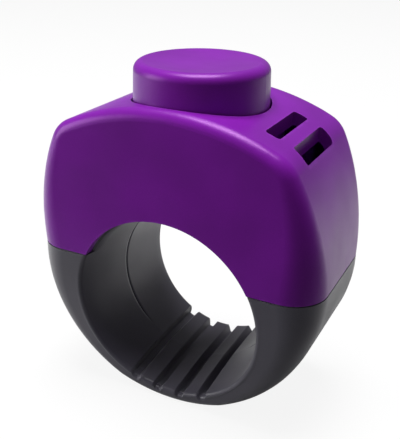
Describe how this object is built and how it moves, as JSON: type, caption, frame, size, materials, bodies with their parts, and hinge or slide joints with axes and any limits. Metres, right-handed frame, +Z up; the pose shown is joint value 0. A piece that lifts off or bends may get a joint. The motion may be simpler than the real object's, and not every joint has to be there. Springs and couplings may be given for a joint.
{
  "type": "finger-worn clicker",
  "caption": "Finger-worn training clicker: arched hard casing with a round push button and lanyard slots on a soft pleated ring.",
  "frame": {"origin": "centre of the finger bore, half way through the ring's depth", "axes": "+Y along the finger bore away from the front face, +Z up towards the button, +X towards the lanyard slots"},
  "size_m": [0.0344, 0.0184, 0.0389],
  "materials": {
    "casing_plastic": "satin moulded ABS, purple",
    "band_rubber": "matt soft-touch elastomer, charcoal",
    "frame_plastic": "plain moulded plastic, black",
    "spring_steel": "rolled spring steel",
    "steel": "plated steel"
  },
  "bodies": {
    "casing": {"upper_casing": "casing_plastic", "ring_band": "band_rubber", "band_pins": "steel", "inner_frame": "frame_plastic", "casing_screws": "steel", "click_plate_tail": "spring_steel", "clamp_bar": "steel", "clamp_screws": "steel"},
    "button": {"button_cap": "casing_plastic", "button_plunger": "frame_plastic"},
    "click_tongue": {"click_plate_tongue": "spring_steel"}
  },
  "joints": [
    {"name": "button_press", "type": "slide", "parent": "casing", "child": "button", "axis": [0, 0, -1], "range_m": [0, 0.0014], "stiffness_N_per_m": 1200, "springref_m": -0.0004},
    {"name": "tongue_snap", "type": "hinge", "parent": "casing", "child": "click_tongue", "pos_m": [-0.0086, 0, 0.01555], "axis": [0, 1, 0], "range_deg": [0, 9.6]}
  ],
  "couplings": [
    {"joint": "tongue_snap", "follows": "button_press", "rad_per_m": 119}
  ]
}
